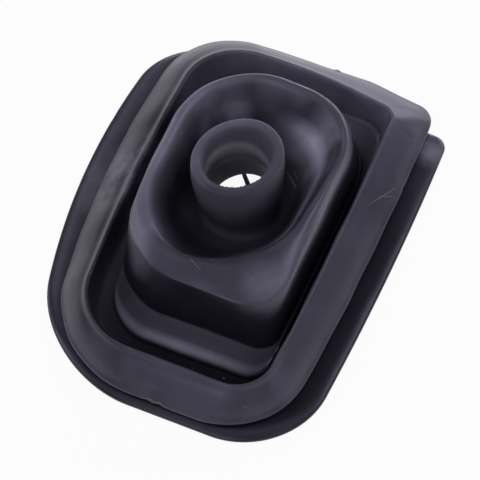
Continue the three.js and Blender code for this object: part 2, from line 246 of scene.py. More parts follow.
def build_section():
    """Rows of the moulding as (outline, height, rise to the right, rise to the rear, painted light
    and shade).
    """
    rows = []
    painted_light_now = [UNDERSIDE_PAINTED_LIGHT]

    def paint_light(left, front, right, rear, rear_right=0.0):
        """Sets the painted light and shade of the rows that follow, by side."""
        painted_light_now[0] = (left, front, right, rear, rear_right)

    def add(shape, z, lean=0.0, rise_rear=0.0):
        rows.append((shape, z, lean, rise_rear, painted_light_now[0]))

    def add_neck(shape, z, share):
        add(shape, z, MOUTH_RISE_RIGHT * share, MOUTH_RISE_REAR * share)

    neck_radius = BORE_RADIUS + NECK_WALL
    neck = circle(neck_radius)
    neck_root = circle(neck_radius - NECK_WAIST, ROOT_SHIFT)
    bore = circle(BORE_RADIUS)
    bore_step = circle(BORE_RADIUS - BORE_STEP, BORE_SHIFT * 0.3)
    bore_low = circle(BORE_RADIUS - BORE_STEP, BORE_SHIFT)
    valley = outside(neck_root, VALLEY_ROOM, VALLEY_ROOM, VALLEY_ROOM, VALLEY_ROOM_REAR,
                     VALLEY_CORNERS)
    dome_left, dome_front = NECK_X - CREST_LEFT, NECK_Y - CREST_FRONT
    crest = Outline(dome_left, dome_left + DOME_WIDTH, dome_front, dome_front + DOME_LENGTH,
                    CREST_CORNERS, 0.0, CREST_BOW_RIGHT)
    crest_inner = outside(crest, -CREST_ROLL_LEFT, -CREST_ROLL_RIGHT, -CREST_ROLL_FRONT,
                          -CREST_ROLL_REAR, CREST_INNER_CORNERS, 0.0, CREST_BOW_RIGHT)
    shoulder = outside(crest, SHOULDER_LEFT, SHOULDER_RIGHT, SHOULDER_FRONT, SHOULDER_REAR,
                       SHOULDER_CORNERS, SHOULDER_BOW_LEFT, SHOULDER_BOW_RIGHT)
    foot = outside(shoulder, DRAFT_SIDE, DRAFT_SIDE, DRAFT_FRONT, DRAFT_REAR,
                   FOOT_CORNERS, FOOT_BOW_LEFT, FOOT_BOW_RIGHT)
    ledge = outside(foot, LEDGE_SIDE, LEDGE_SIDE, LEDGE_FRONT, LEDGE_REAR,
                    LEDGE_CORNERS, FOOT_BOW_LEFT, FOOT_BOW_RIGHT)
    well_base = outside(ledge, FLOOR_SIDE, FLOOR_SIDE, FLOOR_FRONT, FLOOR_REAR,
                        WELL_CORNERS, WELL_BOW_LEFT, WELL_BOW_RIGHT)
    ridge = outside(well_base, RIDGE_SIDE, RIDGE_SIDE, RIDGE_FRONT, RIDGE_REAR,
                    RIDGE_CORNERS, WELL_BOW_LEFT, WELL_BOW_RIGHT)
    lip = outside(ridge, SKIRT_LEFT, SKIRT_RIGHT, SKIRT_FRONT, SKIRT_REAR,
                  LIP_CORNERS, LIP_BOW_LEFT, LIP_BOW_RIGHT)
    groove_foot = inset(well_base, -GROOVE_WALL)
    groove_top = inset(groove_foot, -GROOVE_TAPER)
    flange = outside(lip, FLANGE_LEFT, FLANGE_RIGHT, FLANGE_FRONT,
                     groove_foot.rear + FLANGE_REAR_OVERHANG - lip.rear, FLANGE_CORNERS,
                     FLANGE_BOW_LEFT, LIP_BOW_RIGHT, FLANGE_REAR_SLANT)
    floor_z = BASE_THICKNESS
    ledge_z = floor_z + LEDGE_RISE

    # The bare numbers in the rows are the small steps that round an edge or a fold

    # Lower flange, outer edge and bevelled top, painted paler at the rear and darker towards the
    # groove, as shade under the lip
    add(inset(flange, FLANGE_ROUND), 0.0)
    # The side values below paint light and shade on the rows that follow
    paint_light(0.5, 0.1, 0.3, 1.6)
    add(flange, FLANGE_ROUND)
    add(flange, FLANGE_EDGE - 0.6)
    add(inset(flange, FLANGE_ROUND), FLANGE_EDGE)
    paint_light(0.9, 0.0, 0.15, 1.4)
    add(clear_of(inset(flange, FLANGE_BEVEL), inset(groove_foot, -FLANGE_REAR_OVERHANG * 0.7)),
        floor_z)

    # Groove and the underside of the skirt, painted black as shade
    paint_light(0.0, 0.0, 0.0, 0.0)
    add(inset(groove_foot, -0.6), floor_z)
    add(groove_foot, floor_z + 0.7)
    add(groove_top, GROOVE_TOP_Z)
    add(inset(groove_top, -1.4), GROOVE_TOP_Z + 1.1)
    add(inset(lip, LIP_THICKNESS * 0.9), LIP_Z + 0.7)
    add(inset(lip, LIP_THICKNESS * 0.45), LIP_Z)

    # Lip and the upper face of the skirt, slightly crowned, with painted light that is palest at
    # the rear
    lip_top = inset(lip, LIP_THICKNESS * 0.3)
    lip_top_z = LIP_Z + LIP_THICKNESS
    paint_light(0.1, 1.1, 1.5, 2.6)
    add(lip, LIP_Z + LIP_THICKNESS * 0.3)
    add(lip, LIP_Z + LIP_THICKNESS * 0.7)
    add(lip_top, lip_top_z)
    for t in (0.3, 0.6, 0.85):
        rise = lip_top_z + (RIDGE_Z - 0.6 - lip_top_z) * t
        add(mix(lip_top, ridge, t), rise + SKIRT_CROWN * 4 * t * (1 - t))

    # Ridge, well wall and well floor, with painted light at the rear and on the left wall
    add(inset(ridge, -0.5), RIDGE_Z - 0.1)
    add(inset(ridge, 0.3), RIDGE_Z)
    paint_light(0.4, 0.15, 0.2, 4.2)
    add(inset(ridge, 0.9), RIDGE_Z - 0.7)
    add(mix(ridge, well_base, 0.5), (RIDGE_Z + floor_z) / 2)
    paint_light(1.6, 0.0, 0.0, 3.0)
    add(inset(well_base, -0.3), floor_z + 1.6)
    add(inset(well_base, 0.3), floor_z + 0.3)
    add(inset(ledge, -0.5), floor_z)

    # Ledge and dome wall up to the shoulder, with a painted highlight along the front of the ledge
    # and painted light high up on the left and right of the wall
    add(ledge, floor_z + 0.6)
    paint_light(0.1, 1.0, 0.1, 0.1)
    add(mix(ledge, foot, 0.02), ledge_z - 2.0)
    paint_light(0.2, 4.2, 0.2, 0.2)
    add(mix(ledge, foot, 0.09), ledge_z - 0.75)
    add(mix(ledge, foot, 0.22), ledge_z - 0.1)
    paint_light(0.1, 1.3, 0.2, 0.2)
    add(mix(ledge, foot, 0.45), ledge_z + 0.15)
    add(inset(foot, -0.1), ledge_z + 0.4)
    paint_light(0.05, 0.05, 0.05, 0.1)
    add(inset(foot, 0.2), ledge_z + 1.6)
    for t in (0.4, 0.75, 0.975):
        paint_light(4.0 * t ** 3, 0.12, 3.0 * t ** 9, 0.5 * t)
        add(mix(foot, shoulder, t ** 1.15), ledge_z + (SHOULDER_Z - ledge_z) * t,
            SHOULDER_LEAN * t)
    paint_light(3.5, 0.5, 3.0, 1.2)
    add(inset(shoulder, 0.1), SHOULDER_Z + 0.08, SHOULDER_LEAN)
    add(inset(shoulder, 0.7), SHOULDER_Z + 0.45, SHOULDER_LEAN)

    # Crest and the slope into the valley, with painted highlights on the left of the crest and on
    # the right of the slope, and painted shade low in the valley
    fall_z = CREST_Z - SHOULDER_Z
    crest_inner_z = CREST_Z - CREST_ROLL_DROP
    add(mix(shoulder, crest, 0.5), SHOULDER_Z + fall_z * 0.56, (SHOULDER_LEAN + CREST_LEAN) / 2)
    paint_light(4.5, 0.8, 1.8, 1.8)
    add(crest, CREST_Z, CREST_LEAN)
    add(mix(crest, crest_inner, 0.5), CREST_Z - 0.5, CREST_LEAN)
    paint_light(2.8, 0.6, 1.0, 0.4)
    add(crest_inner, crest_inner_z, CREST_LEAN)
    for t, slope_light in ((0.2, (1.2, 0.2, 2.2, 0.1)), (0.4, (0.1, 0.1, 7.0, 0.0, 5.5)),
                          (0.6, (0.0, 0.1, 1.5, 0.0, 1.5)), (0.85, (0.1, 0.5, 0.0, 0.0))):
        paint_light(*slope_light)
        drop = (crest_inner_z - VALLEY_Z) * (t + 0.5 * t * (1 - t))
        add(mix(crest_inner, valley, t), crest_inner_z - drop, CREST_LEAN * (1 - t))
    add(inset(valley, 1.2), VALLEY_Z)

    # Neck, rim and bore, with painted light on the rim and in the bore
    neck_height = MOUTH_Z - VALLEY_Z
    paint_light(0.3, 1.0, 0.0, 0.0)
    add(inset(neck_root, -0.5), VALLEY_Z + 0.9)
    add(neck_root, VALLEY_Z + ROOT_RISE)
    add_neck(mix(neck_root, neck, 0.7), VALLEY_Z + neck_height * 0.35, 0.3)
    paint_light(1.5, 1.7, 0.4, 0.8)
    add_neck(inset(neck, -NECK_BULGE), VALLEY_Z + neck_height * 0.68, 0.65)
    paint_light(3.0, 1.2, 1.6, 3.2)
    add_neck(neck, MOUTH_Z - 0.9, 1.0)
    add_neck(inset(neck, 0.5), MOUTH_Z - 0.1, 1.0)
    add_neck(inset(neck, 1.5), MOUTH_Z, 1.0)
    add_neck(inset(bore, -BORE_FLARE), MOUTH_Z - 0.3, 1.0)
    paint_light(2.6, 1.2, 1.8, 2.2)
    add_neck(inset(bore, -BORE_FLARE * 0.45), MOUTH_Z - 1.2, 1.0)
    add_neck(inset(bore, -BORE_FLARE * 0.1), MOUTH_Z - 3.4, 1.0)
    add_neck(bore, BORE_STEP_Z + 1.2, 0.8)
    add_neck(bore_step, BORE_STEP_Z, 0.8)
    add_neck(bore_low, VALLEY_Z + BORE_END_RISE, 0.8)
    add_neck(inset(bore_low, -0.8), VALLEY_Z + 1.2, 0.4)

    # Hollow side of the skin, below the valley, inside the crest and down the dome wall
    paint_light(*UNDERSIDE_PAINTED_LIGHT)
    roof_z = CREST_Z - SKIN - ROOF_DROP
    hollow_top_z = roof_z - ROOF_EDGE
    add(inset(valley, 0.2), VALLEY_Z - SKIN)
    for t in (0.2, 0.5, 0.8):
        climb = (roof_z - 1.6 - (VALLEY_Z - SKIN)) * (t - 0.2 * t * (1 - t))
        add(within(inset(mix(valley, crest_inner, t), -SKIN * 0.85), inset(shoulder, SKIN + 0.8)),
            VALLEY_Z - SKIN + climb, ROOF_LEAN * t)
    add(within(inset(crest, 1.1), inset(shoulder, SKIN + 0.8)), roof_z, ROOF_LEAN)
    add(within(inset(crest, -0.2), inset(shoulder, SKIN + 0.2)), roof_z, ROOF_LEAN)
    add(inset(shoulder, SKIN - 0.2), hollow_top_z, ROOF_LEAN * 0.7)
    for t in (0.35, 0.7):
        add(inset(mix(foot, shoulder, (1 - t) ** 1.4), SKIN),
            hollow_top_z - (hollow_top_z - ledge_z) * t, ROOF_LEAN * 0.5 * (1 - t))
    add(inset(foot, SKIN), LEDGE_RISE + 0.4)
    add(inset(ledge, SKIN), LEDGE_RISE - 0.4)
    add(inset(ledge, SKIN - 0.2), 0.6)
    add(inset(ledge, SKIN - 0.8), 0.0)
    return rows


def shared_angles():
    """Angles of the points of every row, closer together at the corners."""
    u = 2 * np.pi * np.arange(POINTS_AROUND) / POINTS_AROUND
    return u + CORNER_CROWDING * np.sin(4 * u) / 4


def row_points(section, angles):
    """Array of rows by points by xyz, in millimetres."""
    rows = []
    for shape, z, lean, rise_rear, _ in section:
        x, y = trace(shape, angles)
        rows.append(np.stack([x, y, z + lean * (x - NECK_X) + rise_rear * (y - NECK_Y)], axis=1))
    return np.array(rows)


def row_painted_light(section, angles):
    """Painted light and shade of every point of the rows, blended between the four sides and the
    rear right.
    """
    ahead, beside = np.cos(angles), np.sin(angles)
    corner = np.cos(angles - math.radians(REAR_RIGHT))
    parts = np.stack([np.minimum(ahead, 0) ** SIDE_FADE, np.minimum(beside, 0) ** SIDE_FADE,
                      np.maximum(ahead, 0) ** SIDE_FADE, np.maximum(beside, 0) ** SIDE_FADE,
                      np.maximum(corner, 0) ** REAR_RIGHT_FADE])
    return np.array([row[4] for row in section]) @ parts


def smooth_rows(rows, values):
    """Fills in rows along smooth curves whose longer spans stay straight."""
    following = np.roll(rows, -1, axis=0)
    span = following - rows
    length = np.linalg.norm(span, axis=2, keepdims=True) + TINY_SPAN
    heading = span / length
    before_heading, before_length = np.roll(heading, 1, axis=0), np.roll(length, 1, axis=0)
    tangent = before_heading * before_length + heading * length
    tangent /= np.linalg.norm(tangent, axis=2, keepdims=True) + TINY
    mean_length = length.mean(axis=(1, 2))
    out, out_values = [], []
    for i in range(len(rows)):
        steps = int(np.clip(round(mean_length[i] / ROW_LENGTH), FEWEST_STEPS, MOST_STEPS))
        j = (i + 1) % len(rows)
        m0, m1 = tangent[i] * length[i], tangent[j] * length[i]
        for s in range(steps):
            t = s / steps
            h00, h10 = 2 * t ** 3 - 3 * t ** 2 + 1, t ** 3 - 2 * t ** 2 + t
            h01, h11 = -2 * t ** 3 + 3 * t ** 2, t ** 3 - t ** 2
            out.append(h00 * rows[i] + h10 * m0 + h01 * rows[j] + h11 * m1)
            out_values.append(values[i] + (values[j] - values[i]) * t)
    return np.array(out), np.array(out_values)


def grid_normals(rows):
    """Directions straight out of the surface."""
    along = np.roll(rows, -1, axis=0) - np.roll(rows, 1, axis=0)
    around = np.roll(rows, -1, axis=1) - np.roll(rows, 1, axis=1)
    normal = np.cross(around, along)
    return normal / (np.linalg.norm(normal, axis=2, keepdims=True) + TINY)


# Rounding of the dome's shoulder at the front right and on the right. It starts and is full at
# these angles round the neck in degrees, and at these heights and distances in millimetres.
SOFT_FRONT, SOFT_REAR = (-62.0, -48.0), (100.0, 70.0)
SOFT_HEIGHT = (15.0, 21.0)
SOFT_AWAY = (26.0, 30.0)
SOFT_SHARE = 0.5
SOFT_PASSES = 12


def soften(rows):
    """Rounds the shoulder of the dome off at its front right corner and on its right side."""
    x, y, z = (rows[..., i] for i in range(3))
    turn = np.degrees(np.arctan2(y - NECK_Y, x - NECK_X))
    away = np.hypot(x - NECK_X, y - NECK_Y)
    side = ramp(turn, *SOFT_FRONT) * ramp(turn, *SOFT_REAR)
    share = (side * ramp(z, *SOFT_HEIGHT) * ramp(away, *SOFT_AWAY))[..., None] * SOFT_SHARE
    for _ in range(SOFT_PASSES):
        middle = (np.roll(rows, 1, axis=0) + np.roll(rows, -1, axis=0)) / 2
        rows = rows + (middle - rows) * share
    return rows


# Rear right corner of the skirt, in millimetres: its pull to the right and to the rear, its droop
# as a share of the height above a base, and the places where both start and are full. The start
# moves left by the spread with each millimetre above its own base. Only the first rows take part:
# the flange, the groove, the skirt, the ridge and the wall of the well down to its floor.
CORNER_PULL = (0.3, -4.2)
CORNER_DROOP, CORNER_DROOP_BASE = 0.12, 3.5
CORNER_START_X, CORNER_FULL_X = 26.0, 54.0
CORNER_SPREAD, CORNER_SPREAD_BASE = 1.6, 4.0
CORNER_BACK = (44.0, 68.0)
CORNER_HEIGHT = (3.6, 6.0)
SKIRT_ROWS = 76


def pull_corner(rows):
    """The rear right corner of the skirt droops and sits further forward than the others."""
    x, y, z = (rows[:SKIRT_ROWS, :, i] for i in range(3))
    start = CORNER_START_X - CORNER_SPREAD * (z - CORNER_SPREAD_BASE)
    near = ramp(x, start, CORNER_FULL_X) * ramp(y, *CORNER_BACK)
    share = near ** 2 * (3 - 2 * near) * ramp(z, *CORNER_HEIGHT)
    pulled = rows.copy()
    pulled[:SKIRT_ROWS, :, 0] += CORNER_PULL[0] * share
    pulled[:SKIRT_ROWS, :, 1] += CORNER_PULL[1] * share
    pulled[:SKIRT_ROWS, :, 2] -= CORNER_DROOP * (z - CORNER_DROOP_BASE) * share
    return pulled


# Slight unevenness of the rubber: wave direction, length in millimetres, phase and height. It fades
# out between these heights, so that the underside stays flat.
WAVES = [
    ((0.8, 0.5, 0.3), 31.0, 0.4, 0.1),
    ((-0.3, 0.9, 0.4), 23.0, 2.1, 0.08),
    ((0.6, -0.7, 0.5), 17.0, 4.0, 0.05),
    ((0.9, 0.2, -0.6), 11.0, 1.3, 0.03),
]
WAVE_HEIGHTS = (2.5, 4.5)

# Dents and nicks: place, reach and depth in millimetres
DENTS = [
    ((1.6, -75.6, 9.5), 3.6, 0.5),
    ((0.7, -77.9, 5.8), 0.9, 0.9),
    ((3.2, -77.9, 6.4), 0.7, 0.6),
    ((5.2, -78.0, 5.6), 1.0, 0.8),
    ((50.6, -37.0, 6.6), 1.3, 0.6),
    ((53.1, 40.0, 5.6), 1.5, 0.5),
    ((48.5, 58.8, 11.2), 1.6, 0.2),
    ((-53.0, 22.0, 5.0), 2.2, 0.35),
    ((11.3, 79.9, 6.8), 0.9, -0.7),
    ((-60.0, 30.0, 1.5), 2.0, 0.4),
    ((-59.0, 36.0, 1.5), 1.4, -0.3),
    ((26.0, -76.4, 5.8), 1.0, 0.4),
]


def uneven(rows):
    """Adds the unevenness and the dents."""
    lift = np.zeros(rows.shape[:2])
    for direction, length, phase, height in WAVES:
        heading = np.array(direction) / np.linalg.norm(direction)
        lift += height * np.sin(2 * np.pi * (rows @ heading) / length + phase)
    lift *= ramp(rows[..., 2], *WAVE_HEIGHTS)
    for place, reach, depth in DENTS:
        away = np.linalg.norm(rows - np.array(place), axis=2) / reach
        lift -= depth * np.exp(-2 * away ** 2)
    return rows + grid_normals(rows) * lift[..., None]


# Ragged edge inside the front of the mouth: depth, height and breadth of the band in millimetres,
# where it starts and is full round the neck in degrees, and how far from the bore's wall it reaches
RAGGED_SEED = 7
RAGGED_DEPTH, RAGGED_LEAST = 0.7, 0.2
RAGGED_NEIGHBOUR = 0.6
RAGGED_Z, RAGGED_BREADTH = 44.6, 0.5
RAGGED_LEFT, RAGGED_RIGHT = (-158.0, -148.0), (8.0, -2.0)
RAGGED_INSIDE, RAGGED_OUTSIDE = 1.5, 2.5


def ragged_mouth(rows):
    """Pushes the edge inside the mouth inwards by an uneven amount."""
    dx, dy = rows[..., 0] - NECK_X, rows[..., 1] - NECK_Y
    radius = np.hypot(dx, dy)
    turn = np.degrees(np.arctan2(dy, dx))
    dice = np.random.default_rng(RAGGED_SEED)
    ragged = dice.random(rows.shape[1]) ** 3 * RAGGED_DEPTH
    ragged = (np.maximum(ragged, np.roll(ragged, 1) * RAGGED_NEIGHBOUR)
              + RAGGED_DEPTH * RAGGED_LEAST)
    front = ramp(turn, *RAGGED_LEFT) * ramp(turn, *RAGGED_RIGHT)
    level = np.exp(-((rows[..., 2] - RAGGED_Z - MOUTH_RISE_RIGHT * dx) / RAGGED_BREADTH) ** 2)
    inside = (radius < BORE_RADIUS + RAGGED_OUTSIDE) * (radius > BORE_RADIUS - RAGGED_INSIDE)
    push = ragged[None, :] * front * level * inside
    rows[..., 0] -= push * dx / radius
    rows[..., 1] -= push * dy / radius
    return rows


# Thread of moulding flash left in the mouth: its points and radii in millimetres
FLASH_PATH = [(10.3, -4.6, 44.8), (9.6, -3.9, 45.2), (8.7, -3.1, 45.5), (7.9, -2.2, 45.6),
              (7.2, -1.4, 45.6), (6.4, -0.5, 45.5), (5.8, 0.3, 45.5), (5.5, 0.8, 45.4)]
FLASH_RADII = [0.9, 0.9, 0.88, 0.85, 0.82, 0.8, 0.72, 0.3]
FLASH_SIDES = 10


def tube_parts(path, radii, sides):
    """Points and faces of a closed tapered tube along a path, in millimetres."""
    path = np.array(path, dtype=float)
    points, faces = [], []
    for i, (centre, radius) in enumerate(zip(path, radii)):
        ahead = path[min(i + 1, len(path) - 1)] - path[max(i - 1, 0)]
        ahead /= np.linalg.norm(ahead)
        across = np.cross(ahead, (0, 0, 1))
        across /= np.linalg.norm(across)
        above = np.cross(across, ahead)
        for k in range(sides):
            a = 2 * np.pi * k / sides
            points.append(centre + radius * (np.cos(a) * across + np.sin(a) * above))
    for i in range(len(path) - 1):
        for k in range(sides):
            n = (k + 1) % sides
            faces.append((i * sides + k, i * sides + n, (i + 1) * sides + n, (i + 1) * sides + k))
    faces.append(tuple(range(sides))[::-1])
    last = (len(path) - 1) * sides
    faces.append(tuple(range(last, last + sides)))
    return points, faces


def joined_mesh(name, pieces):
    """One object from several lists of points and faces, in millimetres."""
    points, faces = [], []
    for more_points, more_faces in pieces:
        first = len(points)
        points += [tuple(v * MM) for v in more_points]
        faces += [tuple(first + k for k in face) for face in more_faces]
    mesh = bpy.data.meshes.new(name)
    mesh.from_pydata(points, [], faces)
    mesh.polygons.foreach_set("use_smooth", [True] * len(faces))
    mesh.update()
    obj = bpy.data.objects.new(name, mesh)
    bpy.context.scene.collection.objects.link(obj)
    return obj


def grid_mesh(name, rows):
    """Closed mesh from rows that join up in both directions."""
    count, around = rows.shape[:2]
    i, k = np.meshgrid(np.arange(count), np.arange(around), indexing="ij")
    above, beside = (i + 1) % count, (k + 1) % around
    faces = np.stack([i * around + k, i * around + beside, above * around + beside,
                      above * around + k], axis=2).reshape(-1, 4)
    mesh = bpy.data.meshes.new(name)
    mesh.vertices.add(count * around)
    mesh.vertices.foreach_set("co", (rows.reshape(-1, 3) * MM).astype(np.float32).ravel())
    mesh.loops.add(faces.size)
    mesh.loops.foreach_set("vertex_index", faces.astype(np.int32).ravel())
    mesh.polygons.add(len(faces))
    mesh.polygons.foreach_set("loop_start", np.arange(0, faces.size, 4, dtype=np.int32))
    mesh.update(calc_edges=True)
    mesh.polygons.foreach_set("use_smooth", np.ones(len(faces), dtype=bool))
    mesh.validate()
    obj = bpy.data.objects.new(name, mesh)
    bpy.context.scene.collection.objects.link(obj)
    return obj


# Colours of clean black rubber and of its painted light, as on lit faces, and the violet cast of
# its sheen
RUBBER_COLOUR = (0.0072, 0.0065, 0.0112, 1)
PAINTED_LIGHT_COLOUR = (0.044, 0.0415, 0.0585, 1)
SHEEN_TINT = (0.79, 0.75, 1.0, 1)

# Noise: scale, detail and roughness
GRAIN_NOISE = (900, 3, 0.5)
GRAIN_STRENGTH, GRAIN_DEPTH = 0.10, 0.0002

# Soft patches from noise: the noise, the part of its range that is used and the values of its ends
GLOSS_PATCHES = (34, 4, 0.6), (0.35, 0.65), (0.27, 0.34)
# The last two make the painted light spots and the painted light and shade patchy
PAINTED_LIGHT_SPOT_PATCHES = (90, 5, 0.65), (0.38, 0.62), (0.15, 1.0)
PAINTED_LIGHT_PATCHES = (55, 4, 0.6), (0.3, 0.7), (0.8, 1.2)

# Grey spots of painted light, where lit faces are paler: middle, reach in millimetres and strength
PAINTED_LIGHT_SPOTS = [
    ((-14.0, 37.0, 24.0), 9.0, 0.5),
    ((-10.0, 63.0, 12.0), 10.0, 0.7),
    ((-25.0, 65.0, 12.5), 10.0, 0.8),
    ((28.0, 62.5, 11.0), 13.0, 0.75),
    ((38.0, 62.0, 12.0), 7.0, 0.7),
    ((20.0, 76.0, 9.0), 34.0, 0.7),
    ((50.0, 68.0, 9.0), 12.0, 0.5),
    ((56.0, 62.0, 2.0), 10.0, 0.8),
    ((-43.0, 2.0, 14.0), 24.0, 0.8),
    ((24.8, -28.8, 28.9), 10.0, 0.5),
    ((0.0, 10.0, 30.0), 12.0, 0.2),
    ((-23.5, -27.0, 30.5), 9.0, 0.7),
    ((-21.0, -35.5, 23.5), 9.0, 0.45),
]
# Grey of the painted light spots, and the share of their reach at full strength
PAINTED_LIGHT_SPOT_COLOUR = (0.185, 0.175, 0.23, 1)
PAINTED_LIGHT_SPOT_FULL = 0.3

# Dull rubber round the root and the mouth of the neck and on the ledge: middle, full reach and end
# in millimetres
DULL_PLACES = [
    ((0.9, 5.8, 13.0), 17.0, 27.0),
    ((0.9, 5.8, 47.5), 15.5, 19.0),
    ((-12.0, -49.0, 3.0), 16.0, 24.0),
    ((14.0, -51.0, 3.0), 18.0, 24.0),
]

# Roughness that the painted light spots, the painted light and shade and the dull places add, and
# the reflection of plain and dull rubber
PAINTED_LIGHT_SPOT_ROUGHNESS, PAINTED_LIGHT_ROUGHNESS, DULL_ROUGHNESS = 0.2, 0.005, 0.3
PLAIN_REFLECTION, DULL_REFLECTION = 0.5, 0.12

# Small pale marks on the rubber: two ends in millimetres and the width
MARKS = [
    ((-52.7, -25.4, 3.2), (-52.7, -25.4, 3.2), 0.35),
    ((10.0, -59.2, 3.2), (10.3, -59.0, 3.2), 0.35),
    ((21.4, -58.2, 3.2), (22.6, -58.3, 3.2), 0.35),
    ((6.0, -29.1, 31.8), (6.2, -29.6, 31.8), 0.35),
    ((2.9, -10.8, 31.3), (2.9, -10.8, 31.3), 0.4),
    ((-10.0, 36.4, 21.9), (-10.0, 36.4, 21.9), 0.4),
    ((45.8, -8.2, 13.7), (46.0, -8.0, 13.6), 0.35),
    ((47.4, -5.8, 12.2), (47.4, -5.8, 12.2), 0.4),
    ((39.0, -66.8, 10.9), (39.3, -66.5, 10.9), 0.35),
    ((34.2, -70.0, 11.5), (36.1, -69.0, 11.1), 0.28),
    ((-10.9, -76.1, 8.0), (-10.9, -75.5, 8.4), 0.3),
    ((-26.3, 17.4, 30.4), (-25.5, 15.5, 29.4), 0.35),
    ((-11.6, 5.9, 35.3), (-11.3, 3.6, 34.4), 0.4),
    ((-11.4, 7.2, 33.6), (-11.4, 6.2, 32.4), 0.35),
    ((45.8, 23.1, 14.2), (51.5, 37.2, 8.7), 0.28),
    ((47.7, 29.0, 12.4), (52.6, 34.6, 7.3), 0.24),
    ((12.8, 24.4, 15.4), (18.7, 19.0, 15.7), 0.3),
    ((15.1, 26.0, 15.4), (18.0, 22.5, 15.6), 0.26),
    ((45.9, 58.6, 14.1), (52.6, 59.0, 7.2), 0.26),
    ((34.9, -49.5, 6.6), (35.6, -45.5, 6.7), 0.5),
    ((36.0, -43.5, 6.7), (36.4, -40.0, 6.6), 0.5),
    ((0.7, -77.7, 6.6), (2.8, -77.6, 6.8), 0.3),
    ((4.4, -77.7, 6.5), (6.4, -77.6, 6.7), 0.3),
    ((-3.0, -31.0, 31.0), (4.0, -34.5, 30.4), 0.22),
]
MARK_COLOUR = (0.16, 0.155, 0.18, 1)
MARK_ROUGHNESS = 0.6

# A mark is a tube with a ring at about every step in millimetres. Its radius is the tip's share of
# the width at both ends and swells by the second share; a dot slants by a share of its width.
MARK_SIDES = 6
MARK_STEP = 0.8
MARK_TIP, MARK_SWELL, MARK_TAPER = 0.18, 0.32, 4
DOT_SLANT = 0.3


def mark_material():
    """Scuffed rubber, paler than the rest."""
    material = bpy.data.materials.new("pale_marks")
    material.use_nodes = True
    shader = material.node_tree.nodes["Principled BSDF"]
    shader.inputs["Base Color"].default_value = MARK_COLOUR
    shader.inputs["Roughness"].default_value = MARK_ROUGHNESS
    return material


def surface_marks(name, surface):
    """Thin slivers that lie half sunk in the surface; a mark without length becomes a dot."""
    tree = BVHTree.FromObject(surface, bpy.context.evaluated_depsgraph_get())
    pieces = []
    for start, end, width in MARKS:
        a, b = Vector(start), Vector(end)
        if (b - a).length < width:
            b = a + Vector((width, width * DOT_SLANT, 0))
        count = max(3, int((b - a).length / MARK_STEP))
        path = [tree.find_nearest(a.lerp(b, k / count) * MM)[0] / MM for k in range(count + 1)]
        ends = [min(k, count - k) / count for k in range(count + 1)]
        radii = [width * (MARK_TIP + MARK_SWELL * min(1.0, MARK_TAPER * e)) for e in ends]
        pieces.append(tube_parts(path, radii, MARK_SIDES))
    return joined_mesh(name, pieces)


def join_masks(nodes, links, sockets, operation):
    """One value from many."""
    result = sockets[0]
    for socket in sockets[1:]:
        join = nodes.new("ShaderNodeMath")
        join.operation = operation
        links.new(result, join.inputs[0])
        links.new(socket, join.inputs[1])
        result = join.outputs[0]
    return result


def noise(nodes, links, place, scale, detail, roughness):
    texture = nodes.new("ShaderNodeTexNoise")
    texture.inputs["Scale"].default_value = scale
    texture.inputs["Detail"].default_value = detail
    texture.inputs["Roughness"].default_value = roughness
    links.new(place, texture.inputs["Vector"])
    return texture.outputs["Fac"]


def spread(nodes, links, value, low, high, to_low, to_high):
    """Value spread from one range over another and held at its ends."""
    remap = nodes.new("ShaderNodeMapRange")
    remap.inputs["From Min"].default_value = low
    remap.inputs["From Max"].default_value = high
    remap.inputs["To Min"].default_value = to_low
    remap.inputs["To Max"].default_value = to_high
    links.new(value, remap.inputs["Value"])
    return remap.outputs["Result"]


def patches(nodes, links, place, kind):
    """Uneven value, as one of the lists of patches gives it."""
    texture, used, values = kind
    return spread(nodes, links, noise(nodes, links, place, *texture), *used, *values)


def spot(nodes, links, place, middle, full, end, strength=1.0):
    """Round spot that is at full strength up to one distance and gone at the other."""
    away = nodes.new("ShaderNodeVectorMath")
    away.operation = "DISTANCE"
    away.inputs[1].default_value = Vector(middle) * MM
    links.new(place, away.inputs[0])
    return spread(nodes, links, away.outputs["Value"], end * MM, full * MM, 0.0, strength)


def blend_colour(nodes, links, factor, first, second):
    """Blend of two colours or sockets, going on past the second where the factor is above 1."""
    mix_node = nodes.new("ShaderNodeMix")
    mix_node.data_type = "RGBA"
    mix_node.clamp_factor = False
    links.new(factor, mix_node.inputs[0])
    for socket, value in ((mix_node.inputs[6], first), (mix_node.inputs[7], second)):
        if isinstance(value, tuple):
            socket.default_value = value
        else:
            links.new(value, socket)
    return mix_node.outputs[2]


